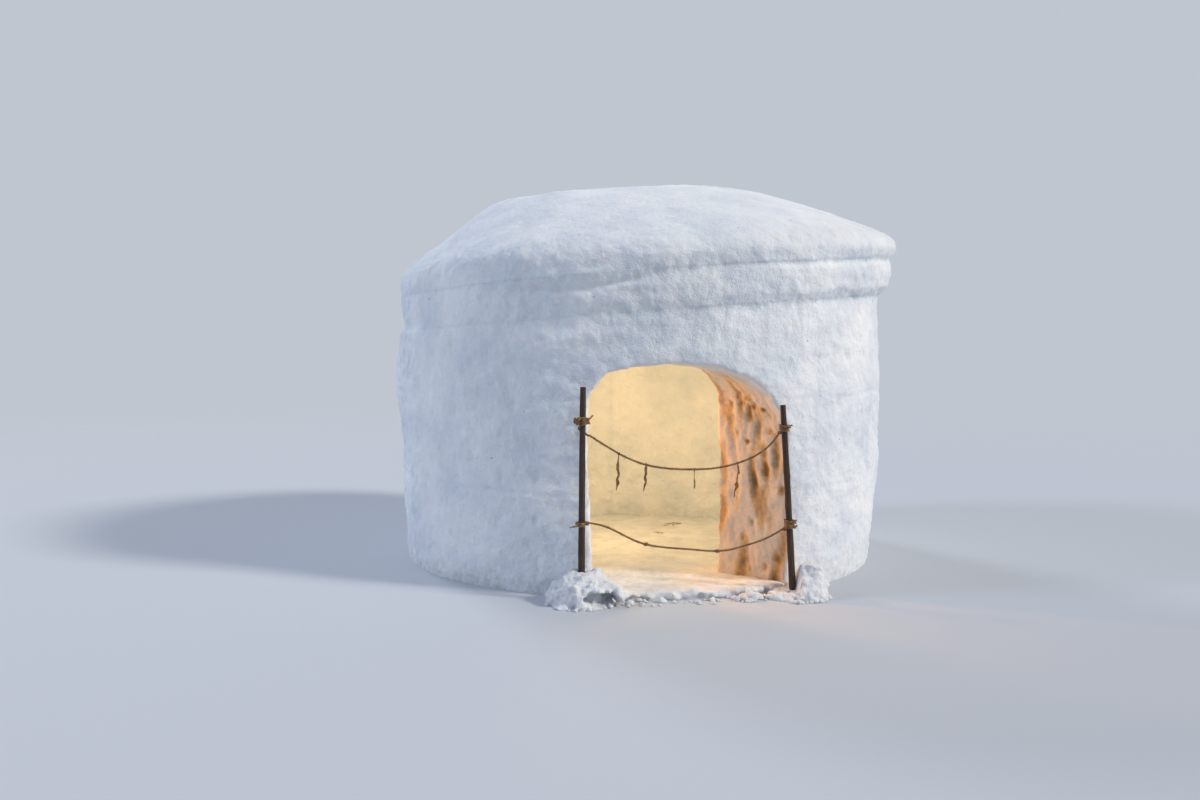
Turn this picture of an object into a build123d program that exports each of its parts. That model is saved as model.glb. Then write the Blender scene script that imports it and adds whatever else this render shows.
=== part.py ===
from build123d import *
from math import cos, radians, sin, sqrt, tan
import os

# A drum-shaped hut of packed snow, entered through an arched doorway. The round wall is raised in lifts and
# bulges a little at its belly. It carries an overhanging band and a low roof with a lip, and both have
# settled to one side. Two stakes stand in heaps of snow before the doorway, with two sagging straw ropes
# tied between them.
# The origin is on the ground at the axis of the drum. The doorway faces -Y, +X is its right-hand side and
# +Z is up. Millimetres and degrees. An azimuth is counted from the doorway towards +X.
# Snow, wood and rope are hewn in narrow flats, so the whole hut meshes to a few thousand triangles.
hut_sides = 72

# Room and floor. The vault is carved in level rings, each with its height above the top of the wall and how
# far it is set in from the room's wall.
room_radius = 1250
floor_thickness = 50
vault_rings = [(-570, 0), (-270, 115), (-10, 310), (190, 560), (300, 850)]

# Round wall. Heights of the wall, its lifts and the doorway are counted from the top of the floor. Each lift
# has its height and how far its top swells out beyond the foot of the wall.
wall_foot_thickness = 505
wall_lifts = [(600, 44), (1200, 72), (1700, 58)]
wall_head_swell = 40
wall_height = 1770
wall_parts = ["right_front", "right", "right_rear", "rear_right", "rear_left", "left_rear", "left", "left_front"]

# Settled top. Each ring has its height above the wall, its radius beyond the foot of the wall, and its
# shift towards the high side.
settling_angle = 4.2
band_height = 245
band_rings = [(0, 65, 45), (60, 95, 60), (170, 105, 65), (band_height, 95, 65)]
roof_rings = [(band_height, 95, 65), (335, 125, 95), (395, 100, 92), (446, 45, 83), (620, -267, 39),
              (800, -627, -74), (870, -842, -183), (912, -1180, -272), (935, -1535, -275)]
rim_parts = ["front", "front_right", "right", "rear_right", "rear", "rear_left", "left", "front_left"]
crown_set_in = 905

# Doorway, seen from outside: foot, springing, haunch and shoulder on each side, at the outer and inner face
door_face_setback = 80
door_outer = [(-615, 0), (-642, 1100), (-605, 1240), (-512, 1345), (-385, 1378), (-120, 1415), (148, 1395),
              (330, 1330), (480, 1225), (585, 1090), (645, 940), (685, 0)]
door_inner = [(-565, 0), (-569, 1110), (-535, 1240), (-455, 1335), (-355, 1375), (-115, 1410), (51, 1406),
              (131, 1394), (185, 1366), (218, 1331), (238, 1294), (244, 0)]
pier_azimuth = 40
pier_height = 940

# Stakes, ropes and heaps have their Y counted from the foremost line of the wall's foot. A heap holds a
# stake, and has rings of a height, a radius and a shift to the right of the stake.
stake_sides = 12
stake_foot_radius = 22
stake_top_radius = 18
left_stake_foot = (-689, -2)
left_stake_top = (-678, -2, 1333)
right_stake_foot = (653, -55)
right_stake_top = (577, -52, 1214)
left_heap_rings = [(0, 215, 0), (80, 200, 6), (145, 145, 16), (195, 75, 26)]
right_heap_rings = [(0, 185, 35), (55, 150, 62), (110, 108, 90), (205, 50, 108)]
heap_sides = 12
heap_unevenness = 0.09
planting_clearance = 0.3

# Ropes of twisted straw, with their route from the left stake to the right one
rope_diameter = 13
rope_sides = 6
upper_rope_route = [
    (-637, -4, 1034), (-535, -8, 967), (-405, -12, 890), (-265, -20, 840), (-115, -24, 820), (35, -31, 816),
    (155, -36, 822), (270, -40, 845), (375, -45, 882), (460, -48, 930), (522, -50, 990), (556, -51, 1040),
]
lower_rope_route = [
    (-639, -4, 494), (-565, -6, 483), (-470, -10, 438), (-365, -15, 380), (-265, -19, 346), (-140, -24, 328),
    (5, -29, 316), (125, -34, 301), (225, -38, 303), (335, -43, 330), (435, -46, 359), (520, -50, 394),
    (583, -52, 432),
]

# Lashings: turns of the same rope round a stake, the knot that the rope leaves from, and a loose tail. Each
# has the height of its lowest turn, its number of turns and the run of its tail.
left_upper_lashing = (1100, 4, (58, -8, 26))
right_upper_lashing = (1044, 4, (48, -8, 6))
left_lower_lashing = (478, 2, (-66, -6, -8))
right_lower_lashing = (432, 5, (44, -6, 12))
knot_radius = 13
lashing_clearance = 0.3
tail_radius = 5
tail_end_radius = 3

# Straw streamers, tied round the upper rope. Each has its distance along the rope and its length.
streamers = {"streamer_1": (213, 225), "streamer_2": (399, 160), "streamer_3": (705, 115), "streamer_4": (980, 210)}
streamer_width = 16
streamer_thickness = 4
streamer_crinkle = 9
streamer_folds = 6
tie_width = 12
tie_thickness = 4
tie_clearance = 0.25

# Worked-out sizes
wall_foot_radius = room_radius + wall_foot_thickness
wall_top = floor_thickness + wall_height
space = 8 * wall_foot_radius
settled = Location((0, 0, wall_top), (0, -settling_angle, 0))


def ring(sides, radius, height, shift=0, unevenness=0):
    """Corners of a level ring, from the doorway's side on."""
    corners = []
    for side in range(sides):
        azimuth = radians(360 * side / sides)
        reach = radius * (1 + unevenness * sin(3 * azimuth))
        corners.append(Vector(shift + reach * sin(azimuth), -reach * cos(azimuth), height))
    return corners


def hewn(rings):
    """A solid with flat faces through rings of corners. A face that would be twisted becomes two."""
    faces = [Face(Wire.make_polygon(rings[0])), Face(Wire.make_polygon(rings[-1]))]
    for lower, upper in zip(rings, rings[1:]):
        for number, start in enumerate(lower):
            end, over_end, over_start = lower[number - 1], upper[number - 1], upper[number]
            normal = (end - start).cross(over_start - start).normalized()
            if abs(normal.dot(over_end - start)) < 1e-6:
                faces.append(Face(Wire.make_polygon([start, end, over_end, over_start])))
            else:
                faces.append(Face(Wire.make_polygon([start, end, over_end])))
                faces.append(Face(Wire.make_polygon([start, over_end, over_start])))
    return Solid(Shell(faces))


def sector(start, end):
    """The upright wedge of space between two azimuths."""
    middle = (start + end) / 2
    rays = [(space * sin(radians(a)), -space * cos(radians(a))) for a in (start, middle, end)]
    return Pos(0, 0, -space / 2) * extrude(make_face(Polyline((0, 0), *rays, close=True)), space)


def between_heights(low, high):
    """All space between two heights."""
    return Pos(0, 0, (low + high) / 2) * Box(space, space, high - low)


def room_space():
    """The round room with its vault, down through the floor."""
    rings = [ring(hut_sides, room_radius, 0)]
    for height, set_in in vault_rings:
        rings.append(ring(hut_sides, room_radius - set_in, wall_top + height))
    return hewn(rings)


def drum():
    """The wall's outer form, solid, and taller than the wall."""
    rings = [ring(hut_sides, wall_foot_radius, 0)]
    for height, swell in wall_lifts:
        rings.append(ring(hut_sides, wall_foot_radius + swell, floor_thickness + height))
    head = wall_top + 2 * wall_foot_radius * tan(radians(settling_angle))
    rings.append(ring(hut_sides, wall_foot_radius + wall_head_swell, head))
    return hewn(rings)


def settled_form(sizes):
    """A solid through rings of the settled top."""
    return settled * hewn([ring(hut_sides, wall_foot_radius + beyond, height, shift)
                           for height, beyond, shift in sizes])


def door_space():
    """The splayed passage through the wall, on straight lines from its outer edge to its inner edge."""
    outer_y = door_face_setback - wall_foot_radius
    inner_y = -sqrt(room_radius ** 2 - door_inner[0][0] ** 2)
    outlines = []
    for y in (-1.15 * wall_foot_radius, -0.7 * room_radius):
        share = (y - outer_y) / (inner_y - outer_y)
        outline = []
        for (outer_x, outer_z), (inner_x, inner_z) in zip(door_outer, door_inner):
            height = floor_thickness + outer_z + (inner_z - outer_z) * share if outer_z else 0
            outline.append(Vector(outer_x + (inner_x - outer_x) * share, y, height))
        outlines.append(outline)
    return hewn(outlines)


def hut_pieces():
    room = room_space()
    passage = door_space()
    body = drum()
    wall = (body & settled * Pos(0, 0, -space / 2) * Box(space, space, space)) - room - passage
    pier_top = floor_thickness + pier_height
    pieces = {"snow_floor": hewn([ring(hut_sides, room_radius, height) for height in (0, floor_thickness)])}
    pieces["door_sill"] = (passage & body & between_heights(0, floor_thickness)) - pieces["snow_floor"]
    pieces["door_left_pier"] = wall & sector(-pier_azimuth, 0) & between_heights(0, pier_top)
    pieces["door_right_pier"] = wall & sector(0, pier_azimuth) & between_heights(0, pier_top)
    pieces["door_arch"] = wall & sector(-pier_azimuth, pier_azimuth) & between_heights(pier_top, space / 2)

    width = (360 - 2 * pier_azimuth) / len(wall_parts)
    for number, name in enumerate(wall_parts):
        start = pier_azimuth + number * width
        pieces[f"wall_{name}"] = wall & sector(start, start + width)

    band = settled_form(band_rings) - room
    roof = settled_form(roof_rings) - room
    width = 360 / len(rim_parts)
    crown_corners = ring(len(rim_parts), wall_foot_radius - crown_set_in, 0)
    crown = Rot(0, 0, width / 2) * extrude(make_face(Polyline(*crown_corners, close=True)), space)
    slope = roof - crown
    pieces["roof_crown"] = roof & crown
    for number, name in enumerate(rim_parts):
        wedge = sector((number - 0.5) * width, (number + 0.5) * width)
        pieces[f"band_{name}"] = band & wedge
        pieces[f"roof_{name}"] = slope & wedge
    return pieces


def before_wall(x, y, z=0):
    """A point of the stakes and ropes."""
    return Vector(x, y - wall_foot_radius, z)


def stake_axis(foot, top, height):
    """The point of a stake's axis at a height."""
    foot, top = before_wall(*foot), before_wall(*top)
    return foot + (top - foot) * (height / top.Z)


def straight(start, run, sides, radii):
    """A solid along a run from a point, through sections of the given radii that are evenly spaced."""
    sections = []
    for number, radius in enumerate(radii):
        plane = Plane(start + run * (number / (len(radii) - 1)), z_dir=run)
        sections.append([plane.from_local_coords(corner) for corner in ring(sides, radius, 0)])
    return hewn(sections)


def stake(foot, top, clearance=0):
    """A stake, thinner at its top and cut off level with the ground, or the hole that it needs."""
    start = stake_axis(foot, top, -stake_foot_radius)
    radii = (stake_foot_radius + clearance, stake_top_radius + clearance)
    return straight(start, before_wall(*top) - start, stake_sides, radii) & between_heights(0, space / 2)


def heap(foot, top, sizes):
    """A heap of snow round a stake, uneven all round, up against the wall."""
    place = Location(before_wall(*foot))
    mound = hewn([ring(heap_sides, radius, height, shift, heap_unevenness) for height, radius, shift in sizes])
    return place * mound - drum() - stake(foot, top, planting_clearance)


def rope_path(route):
    """Straight runs joined by arcs as large as the runs allow, and the radii of the arcs."""
    points = [before_wall(*point) for point in route]
    radii = []
    for before, corner, after in zip(points, points[1:], points[2:]):
        first, second = corner - before, after - corner
        turn = radians(first.get_angle(second))
        radii.append(0.45 * min(first.length, second.length) / tan(turn / 2))
    return FilletPolyline(*points, radius=radii), radii


def across(path, share):
    """The plane across a rope at a share of its length, with its first direction level."""
    return Plane(path @ share, x_dir=(0, 1, 0), z_dir=path % share)


def rope(name, route):
    path, radii = rope_path(route)
    section = across(path, 0) * RegularPolygon(rope_diameter / 2, rope_sides)
    tube = sweep(section, path=path)
    share = tube.volume / (section.area * path.length)
    print(f"{name}: length {path.length:.0f}, volume {share:.4f} of section times length")
    print(f"{name}: corner radii {[round(radius) for radius in radii]}")
    return tube


def lashing(foot, top, winding, route):
    """Turns of rope round a stake, the knot at the first point of a rope, what joins them, and a tail."""
    low, turns, tail = winding
    inner = stake_foot_radius + lashing_clearance
    base = stake_axis(foot, top, low)
    along = (before_wall(*top) - base).normalized()
    swells = [inner + rope_diameter * (1 if half_turn % 2 else 0.55) for half_turn in range(2 * turns + 1)]
    collar = straight(base, along * turns * rope_diameter, stake_sides, swells)
    rope_end, rope_next = before_wall(*route[0]), before_wall(*route[1])
    knot_run = (rope_end - rope_next).normalized() * (stake_foot_radius + rope_diameter)
    knot = straight(rope_end, knot_run, rope_sides, (knot_radius, knot_radius))
    beside = (rope_end - stake_axis(foot, top, rope_end.Z)).normalized() * stake_foot_radius
    rise_start = rope_end + knot_run / 2
    rise = straight(rise_start, base + beside - rise_start, rope_sides, (rope_diameter / 2, rope_diameter / 2))
    tail_start = base + along * (turns - 1.5) * rope_diameter
    loose_end = straight(tail_start, Vector(*tail), rope_sides, (tail_radius, tail_end_radius))
    return collar + knot + rise + loose_end - stake(foot, top, lashing_clearance)


def streamer(route, distance, length):
    """A crinkled strip of straw hanging from a tie round the rope."""
    path, _ = rope_path(route)
    around, bore = across(path, distance / path.length), rope_diameter / 2 + tie_clearance
    loop = RegularPolygon(bore + tie_thickness, rope_sides) - RegularPolygon(bore, rope_sides)
    tie = extrude(around * loop, tie_width / 2, both=True)
    step, half = length / streamer_folds, streamer_thickness / 2
    bends = [(streamer_crinkle * (-1) ** fold / 2, -fold * step) for fold in range(1, streamer_folds + 1)]
    middle = [(0, 0), *bends]
    edges = [(x - half, z) for x, z in middle] + [(x + half, z) for x, z in reversed(middle)]
    strip = extrude(Plane.XZ * make_face(Polyline(*edges, close=True)), streamer_width)
    drop = bore + tie_thickness * 0.6
    return tie + Location(around.origin + Vector(0, streamer_width / 2, -drop)) * strip


def barrier_pieces():
    left, right = (left_stake_foot, left_stake_top), (right_stake_foot, right_stake_top)
    upper, lower = upper_rope_route, lower_rope_route
    pieces = {
        "left_stake": stake(*left),
        "right_stake": stake(*right),
        "left_heap": heap(*left, left_heap_rings),
        "right_heap": heap(*right, right_heap_rings),
        "upper_rope": rope("upper_rope", upper),
        "lower_rope": rope("lower_rope", lower),
        "upper_left_lashing": lashing(*left, left_upper_lashing, upper),
        "upper_right_lashing": lashing(*right, right_upper_lashing, upper[::-1]),
        "lower_left_lashing": lashing(*left, left_lower_lashing, lower),
        "lower_right_lashing": lashing(*right, right_lower_lashing, lower[::-1]),
    }
    for name, (distance, length) in streamers.items():
        pieces[name] = streamer(upper, distance, length)
    return pieces


os.makedirs("parts", exist_ok=True)
for name, piece in {**hut_pieces(), **barrier_pieces()}.items():
    solids = piece.solids()
    export_step(solids[0] if len(solids) == 1 else Compound(children=solids), f"parts/{name}.step")
    print(name, len(solids), round(piece.volume / 1e6, 3))
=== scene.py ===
import math
import random

import bmesh
import bpy
from mathutils import Matrix, Vector, noise


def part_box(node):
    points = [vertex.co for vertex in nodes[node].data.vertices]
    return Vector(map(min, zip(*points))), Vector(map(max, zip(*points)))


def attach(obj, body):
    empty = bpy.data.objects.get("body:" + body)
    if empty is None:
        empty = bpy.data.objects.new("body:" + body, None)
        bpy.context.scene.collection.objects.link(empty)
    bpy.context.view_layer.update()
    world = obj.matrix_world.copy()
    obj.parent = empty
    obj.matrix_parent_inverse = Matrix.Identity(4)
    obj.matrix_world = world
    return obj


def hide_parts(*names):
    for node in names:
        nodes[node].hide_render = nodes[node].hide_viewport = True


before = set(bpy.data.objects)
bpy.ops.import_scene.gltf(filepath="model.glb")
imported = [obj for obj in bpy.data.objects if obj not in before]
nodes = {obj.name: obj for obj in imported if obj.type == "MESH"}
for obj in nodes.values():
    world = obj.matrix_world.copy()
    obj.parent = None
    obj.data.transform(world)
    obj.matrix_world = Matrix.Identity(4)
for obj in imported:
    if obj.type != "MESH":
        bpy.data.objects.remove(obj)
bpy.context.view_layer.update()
scene = bpy.context.scene

# A drum-shaped hut of packed snow with a settled rim and roof, and a stake-and-rope barrier before its door.
# Metres. The doorway faces -Y, +Z is up, and the origin is on the ground at the axis of the drum.


def linear(hexColour):
    channels = [int(hexColour[i:i + 2], 16) / 255 for i in (1, 3, 5)]
    return [c / 12.92 if c <= 0.04045 else ((c + 0.055) / 1.055) ** 2.4 for c in channels] + [1.0]


def addNode(tree, kind, settings={}, links={}):
    node = tree.nodes.new("ShaderNode" + kind)
    for key, value in settings.items():
        if isinstance(key, str) and hasattr(node, key):
            setattr(node, key, value)
        else:
            node.inputs[key].default_value = value
    for key, socket in links.items():
        tree.links.new(socket, node.inputs[key])
    return node


def newMaterial(name, surface):
    # surface holds the constants of the shader; the tree starts empty but for it
    material = bpy.data.materials.new(name)
    material.use_nodes = True
    tree = material.node_tree
    tree.nodes.clear()
    shader = addNode(tree, "BsdfPrincipled", surface)
    addNode(tree, "OutputMaterial", {}, {"Surface": shader.outputs["BSDF"]})
    return material, tree, shader


def placed(name, data):
    thing = bpy.data.objects.new(name, data)
    scene.collection.objects.link(thing)
    return thing


def newPiece(name, mesh, material, replaced=()):
    piece = placed(name, mesh)
    mesh.materials.clear()
    mesh.materials.append(material)
    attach(piece, "root")
    if replaced:
        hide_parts(*replaced)
    return piece


def meshOf(bm, name, smooth=True):
    mesh = bpy.data.meshes.new(name)
    bm.to_mesh(mesh)
    bm.free()
    mesh.polygons.foreach_set("use_smooth", [smooth] * len(mesh.polygons))
    return mesh


def finished(mesh, modifiers):
    # runs modifiers over a mesh and returns the mesh that they leave
    holder = placed("holder", mesh)
    for kind, settings in modifiers:
        modifier = holder.modifiers.new(kind, kind)
        for key, value in settings.items():
            setattr(modifier, key, value)
    bpy.context.view_layer.update()
    result = bpy.data.meshes.new_from_object(holder.evaluated_get(bpy.context.evaluated_depsgraph_get()))
    bpy.data.objects.remove(holder)
    return result


def meshFrom(curve):
    holder = placed(curve.name, curve)
    mesh = bpy.data.meshes.new_from_object(holder)
    bpy.data.objects.remove(holder)
    return mesh


def bell(distance, spread):
    return math.exp(-(distance / spread) ** 2)


def sliced(bm, point, normal, clear=False):
    # cuts a mesh along a plane, and with clear drops what lies behind it
    everything = bm.verts[:] + bm.edges[:] + bm.faces[:]
    bmesh.ops.bisect_plane(bm, geom=everything, plane_co=point, plane_no=normal, clear_inner=clear)


# Camera, at the photograph's viewing angle: place in metres, tilt and heading in degrees, lens in mm
view = {"place": (-1.616, -8.379, 1.62), "tilt": 86.86, "heading": -8.95, "lens": 32.85}

cameraData = bpy.data.cameras.new("camera")
cameraData.lens = view["lens"]
cameraData.sensor_width = 36
camera = placed("camera", cameraData)
camera.location = view["place"]
camera.rotation_euler = (math.radians(view["tilt"]), 0, math.radians(view["heading"]))
scene.camera = camera
print("camera set")

# Materials

snowLook = {
    "fresh": "#ECF0F5", "shaded": "#D6DEE8", "dirt": "#8F7F6B", "splashed": "#BAB6B0",
    # the first is the tan of painted warm lamp light on the right jamb, the second the darker brown of its
    # marks
    "stained": "#E5C08A", "thawed": "#835A2C",
    # sizes of the patterns in metres
    "clump": 0.030, "crust": 0.010, "drift": 0.45, "speck": 0.10, "splashHeight": 0.20,
}


def packedSnow():
    # Snow trodden and patted with a shovel: matt, a little translucent, crumbly from grain to clump, with
    # faint grey-blue where it is dense and a few specks of bark and soil. The clumps and crust are drawn
    # about three times as coarse as real grains, which are too fine to show.
    material, tree, shader = newMaterial("packedSnow", {
        "Roughness": 0.82, "IOR": 1.31, "Specular IOR Level": 0.35,
        "Subsurface Weight": 0.25, "Subsurface Radius": (0.10, 0.055, 0.040), "Subsurface Scale": 0.8,
    })
    place = addNode(tree, "TexCoord").outputs["Object"]
    drift = addNode(tree, "TexNoise", {"Scale": 1 / snowLook["drift"], "Detail": 5.0, "Roughness": 0.62},
                    {"Vector": place})
    tone = addNode(tree, "MapRange", {"From Min": 0.36, "From Max": 0.66}, {"Value": drift.outputs["Fac"]})
    snow = addNode(tree, "Mix", {"data_type": "RGBA", 6: linear(snowLook["fresh"]),
                                 7: linear(snowLook["shaded"])}, {0: tone.outputs["Result"]})
    # Small specks of dirt, few and uneven in size
    speck = addNode(tree, "TexVoronoi", {"Scale": 1 / snowLook["speck"], "Randomness": 1.0},
                    {"Vector": place})
    size = addNode(tree, "MapRange", {"From Min": 0.07, "From Max": 0.03},
                   {"Value": speck.outputs["Distance"]})
    chosen = addNode(tree, "SeparateColor", {}, {"Color": speck.outputs["Color"]})
    kept = addNode(tree, "MapRange", {"From Min": 0.78, "From Max": 0.84}, {"Value": chosen.outputs["Red"]})
    speckMask = addNode(tree, "Math", {"operation": "MULTIPLY"},
                        {0: size.outputs["Result"], 1: kept.outputs["Result"]})
    speckled = addNode(tree, "Mix", {"data_type": "RGBA", 7: linear(snowLook["dirt"])},
                       {0: speckMask.outputs["Value"], 6: snow.outputs[2]})
    # Grey slush that boots and shovels have splashed on the foot of the wall
    height = addNode(tree, "SeparateXYZ", {}, {"Vector": place})
    low = addNode(tree, "MapRange", {"From Min": snowLook["splashHeight"], "From Max": 0.0, "To Max": 0.6},
                  {"Value": height.outputs["Z"]})
    spatter = addNode(tree, "TexNoise", {"Scale": 16.0, "Detail": 6.0, "Roughness": 0.7}, {"Vector": place})
    spatterMask = addNode(tree, "MapRange", {"From Min": 0.42, "From Max": 0.62},
                          {"Value": spatter.outputs["Fac"]})
    splash = addNode(tree, "Math", {"operation": "MULTIPLY"},
                     {0: low.outputs["Result"], 1: spatterMask.outputs["Result"]})
    splashed = addNode(tree, "Mix", {"data_type": "RGBA", 7: linear(snowLook["splashed"])},
                       {0: splash.outputs["Value"], 6: speckled.outputs[2]})
    # Tan of painted warm lamp light over the right jamb, as its attribute says, and a ragged brown in its
    # marks
    wearAndGlow = addNode(tree, "Attribute", {"attribute_name": "thaw"})
    paintedGlowMask = addNode(tree, "MapRange", {"From Min": 0.0, "From Max": 0.30, "To Max": 0.85},
                    {"Value": wearAndGlow.outputs["Fac"]})
    paintedGlowMixed = addNode(tree, "Mix", {"data_type": "RGBA", 7: linear(snowLook["stained"])},
                     {0: paintedGlowMask.outputs["Result"], 6: splashed.outputs[2]})
    ragged = addNode(tree, "TexNoise", {"Scale": 34.0, "Detail": 5.0, "Roughness": 0.6}, {"Vector": place})
    edge = addNode(tree, "Math", {"operation": "MULTIPLY_ADD", 1: 0.7, 2: -0.35}, {0: ragged.outputs["Fac"]})
    raggedMarks = addNode(tree, "Math", {"operation": "ADD"},
                         {0: edge.outputs["Value"], 1: wearAndGlow.outputs["Fac"]})
    # a darker brown with ragged edges where the jamb's marks and streaks are
    brownMarks = addNode(tree, "MapRange", {"From Min": 0.20, "From Max": 0.90, "To Max": 0.88},
                   {"Value": raggedMarks.outputs["Value"]})
    coloured = addNode(tree, "Mix", {"data_type": "RGBA", 7: linear(snowLook["thawed"])},
                       {0: brownMarks.outputs["Result"], 6: paintedGlowMixed.outputs[2]})
    tree.links.new(coloured.outputs[2], shader.inputs["Base Color"])
    clump = addNode(tree, "TexNoise", {"Scale": 1 / snowLook["clump"], "Detail": 6.0, "Roughness": 0.64},
                    {"Vector": place})
    crust = addNode(tree, "TexVoronoi", {"Scale": 1 / snowLook["crust"], "Randomness": 1.0},
                    {"Vector": place})
    relief = addNode(tree, "Bump", {"Strength": 0.85, "Distance": 0.014}, {"Height": clump.outputs["Fac"]})
    grain = addNode(tree, "Bump", {"Strength": 0.35, "Distance": 0.003},
                    {"Height": crust.outputs["Distance"], "Normal": relief.outputs["Normal"]})
    tree.links.new(grain.outputs["Normal"], shader.inputs["Normal"])
    return material


def troddenSnow():
    # Snow churned by boots and shovels: greyer and coarser, with soil ground into it.
    material, tree, shader = newMaterial("troddenSnow", {
        "Roughness": 0.78, "IOR": 1.31, "Specular IOR Level": 0.4,
        "Subsurface Weight": 0.1, "Subsurface Radius": (0.03, 0.035, 0.04), "Subsurface Scale": 0.3,
    })
    place = addNode(tree, "TexCoord").outputs["Object"]
    patch = addNode(tree, "TexNoise", {"Scale": 5.0, "Detail": 6.0, "Roughness": 0.65}, {"Vector": place})
    tone = addNode(tree, "MapRange", {"From Min": 0.40, "From Max": 0.72}, {"Value": patch.outputs["Fac"]})
    snow = addNode(tree, "Mix", {"data_type": "RGBA", 6: linear("#E6EAEF"), 7: linear("#C9CED6")},
                   {0: tone.outputs["Result"]})
    brownMarks = addNode(tree, "TexNoise", {"Scale": 22.0, "Detail": 6.0, "Roughness": 0.7}, {"Vector": place})
    soilMask = addNode(tree, "MapRange", {"From Min": 0.60, "From Max": 0.80, "To Max": 0.55},
                       {"Value": brownMarks.outputs["Fac"]})
    coloured = addNode(tree, "Mix", {"data_type": "RGBA", 7: linear("#8C7B66")},
                       {0: soilMask.outputs["Result"], 6: snow.outputs[2]})
    tree.links.new(coloured.outputs[2], shader.inputs["Base Color"])
    clod = addNode(tree, "TexNoise", {"Scale": 30.0, "Detail": 8.0, "Roughness": 0.68}, {"Vector": place})
    relief = addNode(tree, "Bump", {"Strength": 0.9, "Distance": 0.014}, {"Height": clod.outputs["Fac"]})
    tree.links.new(relief.outputs["Normal"], shader.inputs["Normal"])
    return material


def weatheredWood():
    # A barked pole left outdoors: nearly black, dull, cracked along its length.
    material, tree, shader = newMaterial("weatheredWood", {"Roughness": 0.78, "Specular IOR Level": 0.35})
    place = addNode(tree, "TexCoord").outputs["Object"]
    along = addNode(tree, "Mapping", {"Scale": (1.0, 1.0, 0.05)}, {"Vector": place})
    grain = addNode(tree, "TexNoise", {"Scale": 170.0, "Detail": 6.0, "Roughness": 0.65, "Distortion": 0.6},
                    {"Vector": along.outputs["Vector"]})
    tone = addNode(tree, "MapRange", {"From Min": 0.32, "From Max": 0.70}, {"Value": grain.outputs["Fac"]})
    wood = addNode(tree, "Mix", {"data_type": "RGBA", 6: linear("#1E1611"), 7: linear("#55443A")},
                   {0: tone.outputs["Result"]})
    tree.links.new(wood.outputs[2], shader.inputs["Base Color"])
    relief = addNode(tree, "Bump", {"Strength": 0.8, "Distance": 0.003}, {"Height": grain.outputs["Fac"]})
    tree.links.new(relief.outputs["Normal"], shader.inputs["Normal"])
    return material


def straw(name, dark, light, fibre):
    # Dry rice straw: dull gold to brown, in fine fibres with a faint sheen. fibre is their spacing in mm,
    # drawn about twice as coarse as real so that it shows.
    material, tree, shader = newMaterial(name, {"Roughness": 0.62, "Sheen Weight": 0.2,
                                                "Sheen Roughness": 0.5})
    place = addNode(tree, "TexCoord").outputs["Object"]
    fibres = addNode(tree, "TexNoise", {"Scale": 1000 / fibre, "Detail": 3.0, "Roughness": 0.6,
                                        "Distortion": 1.2}, {"Vector": place})
    patch = addNode(tree, "TexNoise", {"Scale": 38.0, "Detail": 3.0}, {"Vector": place})
    blend = addNode(tree, "Math", {"operation": "MULTIPLY_ADD", 1: 0.5}, {0: fibres.outputs["Fac"]})
    half = addNode(tree, "Math", {"operation": "MULTIPLY", 1: 0.5}, {0: patch.outputs["Fac"]})
    tree.links.new(half.outputs["Value"], blend.inputs[2])
    tone = addNode(tree, "MapRange", {"From Min": 0.38, "From Max": 0.62}, {"Value": blend.outputs["Value"]})
    colour = addNode(tree, "Mix", {"data_type": "RGBA", 6: linear(dark), 7: linear(light)},
                     {0: tone.outputs["Result"]})
    tree.links.new(colour.outputs[2], shader.inputs["Base Color"])
    relief = addNode(tree, "Bump", {"Strength": 0.5, "Distance": 0.0008}, {"Height": fibres.outputs["Fac"]})
    tree.links.new(relief.outputs["Normal"], shader.inputs["Normal"])
    return material


snowMaterial = packedSnow()
troddenMaterial = troddenSnow()
woodMaterial = weatheredWood()
ropeMaterial = straw("twistedStraw", "#4A3018", "#9A713F", 6.0)
streamerMaterial = straw("dryStraw", "#4E3117", "#A0763F", 5.0)
print("materials made")

# Ropes. The points are the route's own, from the left stake to the right one.
wallFootRadius = 1.755
ropes = {
    "diameter": 0.013, "coreRadius": 0.0050, "strands": 3, "strandRadius": 0.0034, "strandReach": 0.0032,
    "pitch": 0.052, "step": 0.003,
    "fibres": 150, "fibreReach": 0.0058, "fibreRadius": 0.0005, "fibreLength": (0.012, 0.030),
    # the overhand knots in the lower rope, as shares of its length, and the points of any knot
    "knotsAt": (0.30, 0.655), "knotSize": 0.0085, "knotRadius": 0.0040, "knotSteps": 48,
    "upper": [(-0.637, -0.004, 1.034), (-0.535, -0.008, 0.967), (-0.405, -0.012, 0.890),
              (-0.265, -0.020, 0.840), (-0.115, -0.024, 0.820), (0.035, -0.031, 0.816),
              (0.155, -0.036, 0.822), (0.270, -0.040, 0.845), (0.375, -0.045, 0.882),
              (0.460, -0.048, 0.930), (0.522, -0.050, 0.990), (0.556, -0.051, 1.040)],
    "lower": [(-0.639, -0.004, 0.494), (-0.565, -0.006, 0.483), (-0.470, -0.010, 0.438),
              (-0.365, -0.015, 0.380), (-0.265, -0.019, 0.346), (-0.140, -0.024, 0.328),
              (0.005, -0.029, 0.316), (0.125, -0.034, 0.301), (0.225, -0.038, 0.303),
              (0.335, -0.043, 0.330), (0.435, -0.046, 0.359), (0.520, -0.050, 0.394),
              (0.583, -0.052, 0.432)],
}


def smoothCurve(name, points, thickness=0.0):
    data = bpy.data.curves.new(name, "CURVE")
    data.dimensions = "3D"
    data.resolution_u = 16
    data.bevel_depth = thickness
    data.bevel_resolution = 3
    data.use_fill_caps = True
    spline = data.splines.new("NURBS")
    spline.points.add(len(points) - 1)
    for point, place in zip(spline.points, points):
        point.co = (*place, 1)
    spline.order_u = 3
    spline.use_endpoint_u = True
    return data


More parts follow.
